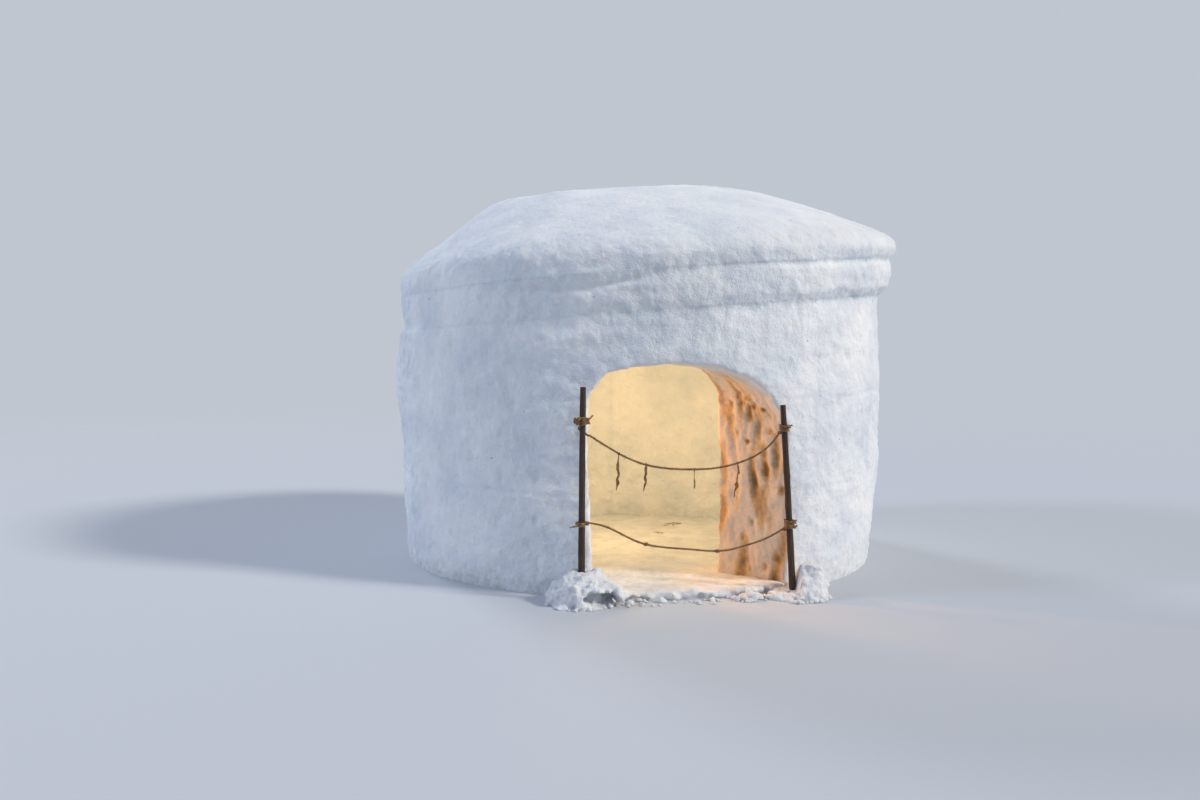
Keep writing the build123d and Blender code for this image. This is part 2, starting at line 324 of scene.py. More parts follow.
def lineOf(points):
    # the points along a smooth curve, read from a curve that has no bevel
    mesh = meshFrom(smoothCurve("line", points))
    line = [v.co.copy() for v in mesh.vertices]
    bpy.data.meshes.remove(mesh)
    return line


def evenly(line, step):
    # the same line with its points a step apart
    spaced, left = [line[0].copy()], step
    for start, end in zip(line, line[1:]):
        run, done = (end - start).length, 0.0
        while run - done >= left:
            done += left
            spaced.append(start.lerp(end, done / run))
            left = step
        left -= run - done
    return spaced


def strandMesh(name, lines, radius, segments=1):
    # thin round strands, one along each line, as one mesh
    data = bpy.data.curves.new(name, "CURVE")
    data.dimensions = "3D"
    data.bevel_depth = radius
    data.bevel_resolution = segments
    data.use_fill_caps = True
    for line in lines:
        spline = data.splines.new("POLY")
        spline.points.add(len(line) - 1)
        for number, (point, place) in enumerate(zip(spline.points, line)):
            point.co = (*place, 1)
            point.radius = 0.55 if number in (0, len(line) - 1) else 1.0
    mesh = meshFrom(data)
    mesh.polygons.foreach_set("use_smooth", [True] * len(mesh.polygons))
    return mesh


def acrossLine(line):
    # a turning-free pair of directions across each point of a line
    forward = (line[1] - line[0]).normalized()
    side = forward.orthogonal().normalized()
    frames = []
    for number, place in enumerate(line):
        ahead = line[min(number + 1, len(line) - 1)] - line[max(number - 1, 0)]
        forward = ahead.normalized()
        side = (side - forward * side.dot(forward)).normalized()
        frames.append((place, side, forward.cross(side)))
    return frames


def twisted(line, reach=ropes["strandReach"], radius=ropes["strandRadius"], phase=0.0):
    # strands laid round a centre line
    strands = [[] for _ in range(ropes["strands"])]
    travelled, before = 0.0, line[0]
    for place, side, up in acrossLine(line):
        travelled += (place - before).length
        before = place
        for number, strand in enumerate(strands):
            turn = phase + math.tau * (travelled / ropes["pitch"] + number / ropes["strands"])
            strand.append(place + side * math.cos(turn) * reach + up * math.sin(turn) * reach)
    return strandMesh("strands", strands, radius, 2)


def knotted(place, size, radius, turn=0.0):
    # a closed overhand knot
    line = []
    for step in range(ropes["knotSteps"] + 1):
        t = math.tau * step / ropes["knotSteps"]
        line.append(place + size * Vector((0.55 * (math.sin(t + turn) + 2 * math.sin(2 * t)),
                                           0.55 * (math.cos(t + turn) - 2 * math.cos(2 * t)),
                                           -0.9 * math.sin(3 * t))))
    return strandMesh("knot", [line], radius, 2)


def looseFibres(line, rng, count, reach):
    # short straws that stand off a rope
    fibres = []
    frames = acrossLine(line)
    for _ in range(count):
        number = rng.randrange(4, len(line) - 12)
        place, side, up = frames[number]
        turn = rng.uniform(0, math.tau)
        outward = side * math.cos(turn) + up * math.sin(turn)
        along = (line[number + 6] - place).normalized() * rng.choice((-1, 1))
        length = rng.uniform(*ropes["fibreLength"])
        start = place + outward * reach
        fibres.append([start, start + along * length * 0.5 + outward * length * 0.12,
                       start + along * length + outward * length * rng.uniform(0.2, 0.5)])
    return fibres


def joined(meshes, name):
    bm = bmesh.new()
    for mesh in meshes:
        bm.from_mesh(mesh)
    return meshOf(bm, name)


def makeRope(name, route, seed, knots=()):
    rng = random.Random(seed)
    points = [Vector((x, y - wallFootRadius, z)) for x, y, z in route]
    core = placed(name + "Core", smoothCurve(name + "Core", points, ropes["coreRadius"]))
    core.data.materials.append(ropeMaterial)
    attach(core, "root")
    line = evenly(lineOf(points), ropes["step"])
    fibres = looseFibres(line, rng, ropes["fibres"], ropes["fibreReach"])
    parts = [twisted(line), strandMesh("fibres", fibres, ropes["fibreRadius"], 0)]
    for share in knots:
        parts.append(knotted(line[int(share * (len(line) - 1))], ropes["knotSize"], ropes["knotRadius"]))
    lay = newPiece(name + "Strands", joined(parts, name), ropeMaterial)
    return core, line


upperRope, upperLine = makeRope("upperRope", ropes["upper"], 3)
lowerRope, lowerLine = makeRope("lowerRope", ropes["lower"], 4, knots=ropes["knotsAt"])
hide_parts("upper_rope")
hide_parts("lower_rope")
print("ropes laid")

# Stakes, which lean a little and are thinner at the top
stakes = {
    "left": {"foot": (-0.689, -0.002, 0), "top": (-0.678, -0.002, 1.333), "bend": 0.004, "seed": 11},
    "right": {"foot": (0.653, -0.055, 0), "top": (0.577, -0.052, 1.214), "bend": 0.003, "seed": 12},
    "footRadius": 0.022, "topRadius": 0.018, "sides": 18, "slices": 46, "rimBevel": 0.0035,
    # how much the bark swells, the knots in it and how far any of it may stand out
    "bark": 0.07, "knots": 5, "knotHeight": 0.016, "knotSwell": 0.16, "fattest": 1.12,
}


def stakePoint(side, height):
    foot, top = Vector(stakes[side]["foot"]), Vector(stakes[side]["top"])
    return foot.lerp(top, height / top.z) - Vector((0, wallFootRadius, 0))


def makeStake(side):
    spec = stakes[side]
    rng = random.Random(spec["seed"])
    foot, top = stakePoint(side, 0), stakePoint(side, spec["top"][2])
    length = (top - foot).length
    bm = bmesh.new()
    bmesh.ops.create_cone(bm, cap_ends=True, segments=stakes["sides"], depth=length,
                          radius1=stakes["footRadius"], radius2=stakes["topRadius"])
    for step in range(1, stakes["slices"]):
        sliced(bm, (0, 0, length * (step / stakes["slices"] - 0.5)), (0, 0, 1))
    rim = [e for e in bm.edges if all(v.co.z > length / 2 - 1e-4 for v in e.verts)]
    bmesh.ops.bevel(bm, geom=rim, affect="EDGES", offset=stakes["rimBevel"], segments=2, profile=0.5,
                    material=-1)
    knots = [(rng.uniform(-0.4, 0.4) * length, rng.uniform(0, math.tau)) for _ in range(stakes["knots"])]
    for vert in bm.verts:
        x, y, z = vert.co
        turn = math.atan2(y, x)
        grain = Vector((math.cos(turn) * 1.5, math.sin(turn) * 1.5, z * 7 + spec["seed"]))
        swell = 1 + stakes["bark"] * noise.noise(grain)
        for height, facing in knots:
            near = bell(z - height, stakes["knotHeight"]) * max(0.0, math.cos(turn - facing)) ** 4
            swell += stakes["knotSwell"] * near
        swell = min(swell, stakes["fattest"])
        lean = spec["bend"] * math.sin(math.pi * (z / length + 0.5))
        vert.co = Vector((x * swell, y * swell + lean * 0.5, z))
    run = (top - foot).normalized()
    bm.transform(Matrix.Translation((foot + top) / 2) @ run.to_track_quat("Z", "Y").to_matrix().to_4x4())
    sliced(bm, (0, 0, 0), (0, 0, 1), True)
    bmesh.ops.holes_fill(bm, edges=[e for e in bm.edges if e.is_boundary])
    return newPiece(side + "Stake", meshOf(bm, side + "Stake"), woodMaterial, [side + "_stake"])


for side in ("left", "right"):
    makeStake(side)
print("stakes made")

# Lashings: each winds up its stake from a height, crosses back over its turns and ends in a knot and a tail.
# The first one starts with a lead, the part turn that climbs to it from where the rope leaves.
lashings = {
    "upper_left_lashing": {"side": "left", "low": 1.106, "turns": 3, "lead": 0.75, "rope": upperLine[0],
                           "tail": (0.030, -0.006, -0.020),
                           "stub": ((0.016, -0.018, -0.012), (0.040, -0.012, 0.010), (0.062, -0.008, 0.035)),
                           "knots": (((-0.030, -0.008, 0.004), 0.0135), ((-0.026, -0.010, -0.014), 0.0105),
                                     ((0.030, -0.012, -0.010), 0.0085))},
    "upper_right_lashing": {"side": "right", "low": 1.050, "turns": 3, "lead": 0, "rope": upperLine[-1],
                            "tail": (0.042, -0.012, 0.014), "knots": (((-0.022, -0.016, 0.006), 0.0085),)},
    "lower_left_lashing": {"side": "left", "low": 0.484, "turns": 1, "lead": 0, "rope": lowerLine[0],
                           "tail": (-0.062, -0.008, -0.008), "knots": (((0.026, -0.014, 0.002), 0.0085),)},
    "lower_right_lashing": {"side": "right", "low": 0.438, "turns": 4, "lead": 0, "rope": lowerLine[-1],
                            "tail": (0.038, -0.010, 0.012),
                            "knots": (((0.030, -0.010, 0.016), 0.0095), ((0.030, -0.012, -0.016), 0.0095))},
    "stepsPerTurn": 28, "crossing": 0.75, "knotSize": 0.0105, "knotRadius": 0.0052,
    # how far the turns press into the stake, how uneven they are and how far the crossing stands out
    "pressed": 0.0010, "uneven": 0.0012, "crossingOut": 0.010,
    "frayed": 12, "overKnot": 5, "frayRadius": 0.0009, "stubRadius": 0.0030, "stubStep": 0.002,
}


def makeLashing(node, seed):
    rng = random.Random(seed)
    spec, steps, pitch = lashings[node], lashings["stepsPerTurn"], ropes["diameter"]
    rope, turns, tail = spec["rope"], spec["turns"], Vector(spec["tail"])
    radius = stakes["footRadius"] + ropes["diameter"] / 2 - lashings["pressed"]
    toRope = rope - stakePoint(spec["side"], rope.z)
    first = math.atan2(toRope.y, toRope.x)

    def roundStake(turn, height, reach):
        return stakePoint(spec["side"], height) + reach * Vector((math.cos(turn), math.sin(turn), 0))

    coil = []
    leadSteps = int(spec["lead"] * steps)
    if leadSteps:
        coil.append(rope + toRope.normalized() * 0.006)
        coil.append(rope.lerp(roundStake(first, rope.z, radius), 0.6))
    for step in range(1, leadSteps):
        share = step / leadSteps
        turn, height = first + math.tau * spec["lead"] * share, rope.z + (spec["low"] - rope.z) * share
        coil.append(roundStake(turn, height, radius))
    first += math.tau * spec["lead"]
    for step in range(turns * steps + 1):
        reach = radius + lashings["uneven"] * math.sin(step * 0.7 + seed)
        coil.append(roundStake(first + math.tau * step / steps, spec["low"] + pitch * step / steps, reach))
    top = spec["low"] + pitch * turns
    crossingSteps = int(lashings["crossing"] * steps)
    for step in range(1, crossingSteps + 1):
        share = step / crossingSteps
        turn, height = first + math.tau * lashings["crossing"] * share, top - pitch * turns * 0.6 * share
        coil.append(roundStake(turn, height, radius + lashings["crossingOut"] * min(1, 3 * share)))
    away = (coil[-1] - stakePoint(spec["side"], coil[-1].z)).normalized()
    knot = coil[-1] + away * 0.004 + tail.normalized() * 0.006
    coil += [knot, knot + tail * 0.5 + away * 0.004, knot + tail]
    line = evenly(lineOf(coil), ropes["step"])
    parts = [twisted(line, phase=seed), knotted(knot, lashings["knotSize"], lashings["knotRadius"], seed)]
    middle = stakePoint(spec["side"], spec["low"] + pitch * turns / 2)
    for number, (offset, size) in enumerate(spec["knots"]):
        parts.append(knotted(middle + Vector(offset), size, size * 0.48, seed + number))
    if "stub" in spec:
        stub = evenly(lineOf([middle + Vector(offset) for offset in spec["stub"]]), lashings["stubStep"])
        parts.append(twisted(stub, ropes["strandReach"] * 0.8, lashings["stubRadius"]))
    # Frayed straws at the tail's end and over the knot
    end, ahead = line[-1], (line[-1] - line[-4]).normalized()
    fray = []
    for _ in range(lashings["frayed"]):
        splay = Vector((rng.uniform(-1, 1), rng.uniform(-1, 1), rng.uniform(-1, 1))) * 0.007
        fray.append([end - ahead * 0.006, end + ahead * 0.007 + splay * 0.5, end + ahead * 0.016 + splay])
    for _ in range(lashings["overKnot"]):
        splay = Vector((rng.uniform(-1, 1), rng.uniform(-1, 0.2), rng.uniform(-1, 1))).normalized()
        tip = knot + splay * 0.028 + Vector((0, 0, -0.004))
        fray.append([knot + splay * 0.006, knot + splay * 0.018, tip])
    parts.append(strandMesh("fray", fray, lashings["frayRadius"], 0))
    if not leadSteps:
        # a short end from the rope to the stake, with a knot where it meets it
        start = roundStake(first, rope.z, radius)
        end = lineOf([start, start.lerp(rope, 0.5), rope + toRope.normalized() * 0.004])
        parts.append(twisted(evenly(end, lashings["stubStep"])))
        parts.append(knotted(start, lashings["knotSize"] * 0.8, lashings["knotRadius"] * 0.9, seed + 1))
    name = "".join(word.capitalize() if number else word for number, word in enumerate(node.split("_")))
    return newPiece(name, joined(parts, name), ropeMaterial, [node])


for seed, node in enumerate(n for n in lashings if n.endswith("_lashing")):
    makeLashing(node, seed)
print("lashings tied")

# Streamers of dry straw leaf, folded and crinkled, tied round the upper rope. Each profile gives, from the
# tie to the tip, how far right of the tie a fold lies, how far below it and the leaf's width there, in mm.
streamers = {
    "profiles": {
        "streamer_1": ((0, 4, 7), (-2, 24, 5), (-4, 46, 9), (-7, 72, 17), (-7, 100, 18), (-1, 122, 13),
                       (-3, 142, 15), (-10, 155, 12), (-8, 172, 24), (-6, 186, 19), (-12, 205, 11),
                       (-17, 234, 4)),
        "streamer_2": ((0, 4, 11), (-3, 20, 16), (-4, 40, 18), (-2, 57, 13), (-9, 74, 16), (-6, 92, 18),
                       (-3, 106, 13), (-9, 122, 12), (-14, 142, 11), (-17, 164, 4)),
        "streamer_3": ((0, 3, 8), (-1, 22, 4), (-2, 46, 4), (0, 62, 8), (1, 78, 10), (0, 95, 10),
                       (-1, 106, 5)),
        "streamer_4": ((0, 4, 7), (3, 22, 9), (7, 44, 14), (8, 60, 15), (0, 72, 8), (-2, 94, 7), (-4, 116, 9),
                       (-8, 129, 21), (-3, 144, 22), (-12, 160, 11), (-18, 175, 8), (-20, 197, 7),
                       (-20, 212, 4)),
    },
    # under is the width of the leaf beneath as a share, and a leaf as wide as foldWidth folds fully
    "fold": 0.0055, "foldWidth": 14, "crease": 0.6, "thickness": 0.0012, "under": 0.62, "clearance": 0.003,
    "tieTurns": 4, "tieSteps": 14, "tieRadius": 0.0080, "tieStraw": 0.0015, "tieLay": 0.0024,
}


def makeStreamer(node, seed):
    rng = random.Random(seed)
    low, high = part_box(node)
    middle = (low.x + high.x) / 2
    tie = min(upperLine, key=lambda p: abs(p.x - middle))
    profile = streamers["profiles"][node]
    shrink = (tie.z - low.z - streamers["clearance"]) / (profile[-1][1] / 1000)
    bm = bmesh.new()
    # a broad leaf and a narrower one under it, folded the other way
    for layer, widening in enumerate((1.0, streamers["under"])):
        edge = None
        for number, (right, down, width) in enumerate(profile):
            fold = streamers["fold"] * (-1) ** (number + layer) * min(1.0, width / streamers["foldWidth"])
            centre = tie + Vector((right / 1000 + layer * rng.uniform(-0.002, 0.002),
                                   0.002 * layer + rng.uniform(-0.002, 0.002), -down / 1000 * shrink))
            across = Vector((width / 2000 * widening, fold, rng.uniform(-0.3, 0.3) * width / 2000))
            if edge is None:
                edge = bm.edges.new((bm.verts.new(centre - across), bm.verts.new(centre + across)))
                continue
            bmesh.ops.extrude_edge_only(bm, edges=[edge])
            bm.verts.ensure_lookup_table()
            bm.edges.ensure_lookup_table()
            edge = bm.edges.get(bm.verts[-2:]) or bm.edges[-1]
            edge.verts[0].co = centre - across
            edge.verts[1].co = centre + across
    # crisp folds across the leaf and rounded sides
    crease = bm.edges.layers.float.new("crease_edge")
    for edge in bm.edges:
        if not edge.is_boundary:
            edge[crease] = streamers["crease"]
    strips = finished(meshOf(bm, node), [
        ("SUBSURF", {"levels": 2, "render_levels": 2}),
        ("SOLIDIFY", {"thickness": streamers["thickness"], "offset": 0.0}),
    ])
    # The tie: turns of straw round the rope
    number = upperLine.index(tie)
    _, side, up = acrossLine(upperLine)[number]
    along = (upperLine[min(number + 2, len(upperLine) - 1)] - upperLine[max(number - 2, 0)]).normalized()
    wrap = []
    for step in range(streamers["tieTurns"] * streamers["tieSteps"] + 1):
        turns = step / streamers["tieSteps"]
        turn = math.tau * turns
        slip = along * (streamers["tieLay"] * (turns - streamers["tieTurns"] / 2))
        wrap.append(tie + slip + streamers["tieRadius"] * (side * math.cos(turn) + up * math.sin(turn)))
    tieMesh = strandMesh(node, [wrap], streamers["tieStraw"], 1)
    name = "streamer" + node[-1]
    return newPiece(name, joined([strips, tieMesh], name), streamerMaterial, [node])


for seed in range(1, 5):
    makeStreamer(f"streamer_{seed}", seed)
print("streamers hung")

# Snow forms. Copies of the solids are fused into one skin, softened as thaw softens it, worked over with a
# shovel's marks, cut level at the ground and parted into pieces again.
hut = {
    "skin": 0.0155, "softening": 15, "sunkFoot": 0.12,
    # the rim's foot, how far it has settled to the left, and the waist above it, where band and roof part
    "wallTop": 1.82, "settling": math.radians(4.2), "waist": 0.250,
    # seams between the lifts that the wall was packed in: their heights, depth, spread and wander
    "lifts": (0.65, 1.25), "liftDepth": 0.012, "liftSpread": 0.016, "liftWander": 0.03,
    # depth of each kind of relief, and how many of its waves lie in a metre
    "swell": 0.024, "swellWaves": 1.05, "lump": 0.012, "lumpWaves": 3.1, "grit": 0.0075, "gritWaves": 15,
    # the shovel's pats and their size, and the pits, their spacing, size and how many are left out
    "pat": 0.017, "patSize": 0.17, "patMiddle": 0.45, "pitDepth": 0.020, "pitSpacing": 0.34,
    "pitSize": (0.05, 0.09), "pitsLeftOut": 0.25,
    # the roof is smoother from this height over the rim's foot: shares that its pats and grit lose there
    "smoothFrom": 0.40, "smoothOver": 0.15, "patLoss": 0.65, "gritLoss": 0.55,
    # the room's wall lies within this radius: shares of the swells and pits that it has
    "roomReach": 1.5, "roomSwell": 0.6, "roomPits": 0.5,
    # the groove under the roof's lip, its spread, its least share, and how far it wanders up and down
    "groove": 0.016, "grooveSpread": 0.020, "grooveLeast": 0.10, "grooveWander": 0.018,
    # where the lip droops over the band: azimuth from the doorway and spread in degrees, and drop
    "droops": ((-24, 17, 0.085), (26, 22, 0.022)), "droopGroove": 9,
    "droopFill": 0.019, "fillSpread": 0.045,
    # how far the underside of the doorway's arch has thawed upwards, its half width, its heights, its inner
    # end and over what length the thaw sets in there
    "archThaw": 0.020, "archHalf": 0.65, "archHeights": (1.0, 1.6), "archEnd": -1.05, "archFade": 0.15,
    # what the band has lost towards its right end, whose X is given: height above its foot, spread and depth
    "trims": ((0.012, 0.030, 0.022), (0.090, 0.060, 0.016)), "trimEnd": 1.9,
    # swells of the wall: azimuth from the doorway in degrees, height, spread and rise
    "swells": ((-89, 1.34, 0.30, 0.024), (-89, 0.80, 0.24, -0.012), (67, 0.62, 0.36, 0.032),
               (-60, 2.02, 0.22, -0.012), (30, 1.62, 0.30, 0.010), (160, 1.0, 0.5, 0.018),
               (-140, 0.6, 0.4, 0.015)),
    "swellRadius": 1.81,
    # hollows in the outer face: place, radius and depth
    "hollows": (((-1.071, -1.459, 1.221), 0.045, 0.020), ((-0.935, -1.55, 0.74), 0.055, 0.026),
                ((1.138, -1.408, 1.50), 0.035, 0.016), ((1.299, -1.26, 1.80), 0.04, 0.014),
                ((1.322, -1.237, 0.884), 0.055, 0.022), ((1.054, -1.472, 1.203), 0.04, 0.018),
                ((1.40, -1.15, 0.80), 0.04, 0.016), ((-1.45, -1.08, 1.58), 0.06, 0.012)),
}
tilt = Vector((-math.sin(hut["settling"]), 0, math.cos(hut["settling"])))
rimFoot = Vector((0, 0, hut["wallTop"]))

# The right jamb. Its marks are thawed hollows: distance along Y, height, half sizes, depth, share of painted
# glow and brown.
jamb = {
    # where it lies, and over what length its marks fade at its near and far edges
    "nearest": -1.72, "furthest": -1.13, "left": 0.20, "top": 1.42, "fades": (0.10, 0.08),
    # how far a face has to be turned to the left to be marked, and over what further turn it is marked fully
    "turned": 0.1, "turnedMore": 0.35,
    # depth of the streaks and dimples, and how many of their waves lie in a metre along and up
    "streakDepth": 0.020, "streakWaves": (15, 2.8), "dimpleDepth": 0.009, "dimpleWaves": (24, 10),
    # painted lamp glow on the whole jamb, and what a streak adds, with brown, from its threshold on and over
    # which range
    "stain": 0.17, "streakStain": 0.60, "threshold": 0.06, "range": 0.5,
    "marks": (
        (-1.315, 1.192, 0.013, 0.030, 0.010, 0.8), (-1.331, 1.108, 0.008, 0.024, 0.006, 0.6),
        (-1.373, 1.245, 0.012, 0.030, 0.006, 0.8), (-1.392, 1.200, 0.012, 0.024, 0.010, 1.0),
        (-1.376, 1.150, 0.010, 0.024, 0.006, 0.5), (-1.424, 1.205, 0.013, 0.024, 0.008, 0.9),
        (-1.442, 1.232, 0.015, 0.015, 0.004, 0.8), (-1.468, 1.240, 0.018, 0.014, 0.004, 0.8),
        (-1.493, 1.228, 0.014, 0.016, 0.006, 1.0), (-1.509, 1.200, 0.012, 0.020, 0.008, 0.9),
        (-1.443, 1.130, 0.022, 0.048, 0.018, 1.1), (-1.455, 1.176, 0.016, 0.030, 0.012, 1.0),
        (-1.487, 1.178, 0.013, 0.022, 0.014, 1.2), (-1.565, 1.165, 0.018, 0.016, 0.010, 1.1),
        (-1.592, 1.125, 0.013, 0.034, 0.006, 0.5),
        (-1.412, 0.950, 0.018, 0.017, 0.015, 1.2), (-1.350, 1.010, 0.010, 0.020, 0.006, 0.6),
        (-1.496, 1.066, 0.012, 0.052, 0.008, 0.7), (-1.519, 0.885, 0.022, 0.060, 0.010, 0.8),
        (-1.520, 0.770, 0.027, 0.080, 0.017, 1.2), (-1.570, 1.026, 0.028, 0.024, 0.008, 0.6),
        (-1.622, 0.650, 0.026, 0.036, 0.010, 0.8), (-1.605, 0.865, 0.014, 0.032, 0.006, 0.6),
        (-1.645, 0.800, 0.013, 0.070, 0.008, 0.6), (-1.650, 0.550, 0.014, 0.090, 0.008, 0.9),
        (-1.490, 0.622, 0.010, 0.022, 0.006, 0.6), (-1.367, 0.296, 0.018, 0.042, 0.008, 0.6),
        (-1.424, 0.410, 0.010, 0.032, 0.006, 0.5), (-1.590, 0.192, 0.036, 0.056, 0.012, 0.9),
        (-1.645, 0.310, 0.018, 0.070, 0.010, 0.8), (-1.650, 0.140, 0.020, 0.060, 0.008, 0.8),
        (-1.379, 0.125, 0.016, 0.036, 0.008, 0.7), (-1.416, 0.100, 0.010, 0.030, 0.006, 0.6),
        (-1.509, 0.132, 0.020, 0.032, 0.006, 0.5), (-1.255, 0.900, 0.012, 0.060, 0.006, 0.3),
    ),
}


def sunkCopy(node, foot, widening=(1, 1, 1)):
    # a copy of a CAD node's mesh with its triangles merged and its foot sunk into the ground
    bm = bmesh.new()
    bm.from_mesh(nodes[node].data)
    bmesh.ops.remove_doubles(bm, verts=bm.verts, dist=1e-6)
    bmesh.ops.scale(bm, vec=widening, verts=bm.verts)
    for vert in bm.verts:
        if vert.co.z < 0.002:
            vert.co.z = -foot
    return meshOf(bm, node)


def fused(bm, name, voxel, softening):
    # one skin over all that a mesh holds, softened as thaw softens it
    mesh = finished(meshOf(bm, name), [
        ("REMESH", {"mode": "VOXEL", "voxel_size": voxel, "use_smooth_shade": True}),
        ("SMOOTH", {"factor": 0.5, "iterations": softening}),
    ])
    skin = bmesh.new()
    skin.from_mesh(mesh)
    return skin


def pats(place, size):
    # shallow dished cells with low ridges between, as a shovel's back leaves them
    bent = place + 0.05 * Vector((noise.noise(place * 3), noise.noise(place * 3 + Vector((9, 0, 0))), 0))
    distances = noise.voronoi(Vector((bent.x, bent.y, bent.z * 1.3)) / size)[0]
    return min(distances[0], 0.75)


def pit(place):
    # a hollow here and there, knocked out or thawed round a bit of bark
    distances, centres = noise.voronoi(place / hut["pitSpacing"])
    smallest, more = hut["pitSize"]
    size = smallest + more * noise.cell(centres[0] * 3.7)
    chosen = noise.cell(centres[0] * 5.3 + Vector((7, 7, 7))) > hut["pitsLeftOut"]
    return max(0.0, 1 - (distances[0] / size) ** 2) if chosen else 0.0


swellSpots = []
for azimuth, height, spread, rise in hut["swells"]:
    turn, reach = math.radians(azimuth), hut["swellRadius"]
    swellSpots.append((Vector((reach * math.sin(turn), -reach * math.cos(turn), height)), spread, rise))
hollowSpots = [(Vector(place), radius, depth) for place, radius, depth in hut["hollows"]]


def jambMarks(place):
    # how deep the right jamb is hollowed at a place, and how much painted lamp glow and brown it takes there
    near, far = jamb["fades"]
    edge = min(1.0, (place.y - jamb["nearest"]) / near, (jamb["furthest"] - place.y) / far)
    (alongs, ups), (dimpleAlongs, dimpleUps) = jamb["streakWaves"], jamb["dimpleWaves"]
    streak = noise.noise(Vector((place.y * alongs, place.z * ups, 3.1)))
    dimple = noise.noise(Vector((place.y * dimpleAlongs, place.z * dimpleUps, 7.7)))
    depth = jamb["streakDepth"] * max(0.0, streak) + jamb["dimpleDepth"] * dimple
    stain = jamb["stain"] + jamb["streakStain"] * max(0.0, streak - jamb["threshold"]) / jamb["range"]
    for y, z, halfY, halfZ, deep, stained in jamb["marks"]:
        share = bell(place.y - y, halfY) * bell(place.z - z, halfZ)
        depth += deep * share
        stain = max(stain, stained * share)
    return depth * max(edge, 0.0), stain * max(edge, 0.0)


def workOver(bm):
    # gives the fused skin the relief of packed and thawed snow, and cuts it level at the ground
    thaw = bm.verts.layers.float.new("thaw")
    archFoot, archTop = hut["archHeights"]
    for vert in bm.verts:
        place, normal = vert.co, vert.normal
        aboveRim = (place - rimFoot).dot(tilt)
        roof = min(1.0, max(0.0, (aboveRim - hut["smoothFrom"]) / hut["smoothOver"]))
        outward = Vector((place.x, place.y, 0))
        inside = outward.length < hut["roomReach"] and normal.dot(outward) < 0
        change = hut["swell"] * noise.noise(place * hut["swellWaves"]) * (hut["roomSwell"] if inside else 1.0)
        change += hut["lump"] * noise.noise(place * hut["lumpWaves"] + Vector((3, 5, 9)))
        patted = pats(place, hut["patSize"]) - hut["patMiddle"]
        change += hut["pat"] * patted * (1 - hut["patLoss"] * roof)
        gritty = noise.fractal(place * hut["gritWaves"], 0.8, 2.1, 3)
        change += hut["grit"] * gritty * (1 - hut["gritLoss"] * roof)
        change -= hut["pitDepth"] * pit(place) * (1 - roof) * (hut["roomPits"] if inside else 1.0)
        if not inside:
            # the groove is deeper to the right and where the lip droops, and there the waist is filled
            wearAndGlow = 0.45 + 0.45 * place.x + 1.2 * noise.noise(place * 1.4 + Vector((2, 2, 6)))
            wander = hut["grooveWander"] * min(1.0, max(0.0, 1.2 - place.x)) * noise.noise(place * 2.3)
            azimuth = math.degrees(math.atan2(place.x, -place.y))
            droop = sum(drop * bell(azimuth - facing, spread) for facing, spread, drop in hut["droops"])
            aboveWaist = aboveRim - hut["waist"]
            groove = hut["groove"] * max(min(1.0, max(hut["grooveLeast"], wearAndGlow)), hut["droopGroove"] * droop)
            change -= groove * bell(aboveWaist - wander + droop, hut["grooveSpread"])
            change += hut["droopFill"] * droop / hut["droops"][0][2] * bell(aboveWaist, hut["fillSpread"])
            for height, spread, depth in hut["trims"]:
                change -= depth * max(0.0, place.x / hut["trimEnd"]) * bell(aboveRim - height, spread)
            for lift in hut["lifts"]:
                seam = place.z - lift - hut["liftWander"] * noise.noise(place * 1.6)
                strength = min(1.0, max(0.0, 0.5 + 1.2 * noise.noise(place * 1.9 + Vector((1, 8, 2)))))
                change -= hut["liftDepth"] * bell(seam, hut["liftSpread"]) * strength
            for centre, spread, rise in swellSpots:
                if abs(place.z - centre.z) < 2 * spread:
                    change += rise * bell((place - centre).length, spread)
            for centre, radius, depth in hollowSpots:
                if abs(place.z - centre.z) < 2 * radius:
                    change -= depth * bell((place - centre).length, radius)
        if abs(place.x) < hut["archHalf"] and place.y < hut["archEnd"] and archFoot < place.z < archTop:
            share = min(1.0, (hut["archEnd"] - place.y) / hut["archFade"])
            change -= hut["archThaw"] * max(0.0, -normal.z) * share
        along = jamb["nearest"] < place.y < jamb["furthest"]
        if along and place.x > jamb["left"] and place.z < jamb["top"] and -normal.x > jamb["turned"]:
            facing = min(1.0, (-normal.x - jamb["turned"]) / jamb["turnedMore"])
            depth, stain = jambMarks(place)
            change -= depth * facing
            # the jamb's share of painted warm lamp light, and of brown in its marks
            vert[thaw] = stain * facing
        vert.co = place + normal * change
    cutBelow(bm, (0, 0, 0), (0, 0, 1))


def capCut(bm):
    # closes what a cut has opened, with a crisp edge round the cap
    rims = [e for e in bm.edges if e.is_boundary]
    for edge in rims:
        edge.smooth = False
    bmesh.ops.triangle_fill(bm, use_beauty=True, use_dissolve=False, edges=rims)


def cutBelow(bm, point, normal):
    # keeps what lies on the normal's side of a plane
    sliced(bm, point, normal, True)
    capCut(bm)


def wedgeOf(bm, start, end):
    # keeps the part of the wall between two azimuths from the doorway, in degrees
    for edgeAngle in (start, end):
        turn = math.radians(edgeAngle)
        sliced(bm, (0, 0, 0), (math.cos(turn), math.sin(turn), 0))
    unwanted = []
    for face in bm.faces:
        middle = face.calc_center_median()
        if not start < math.degrees(math.atan2(middle.x, -middle.y)) < end:
            unwanted.append(face)
    bmesh.ops.delete(bm, geom=unwanted, context="FACES")
    capCut(bm)


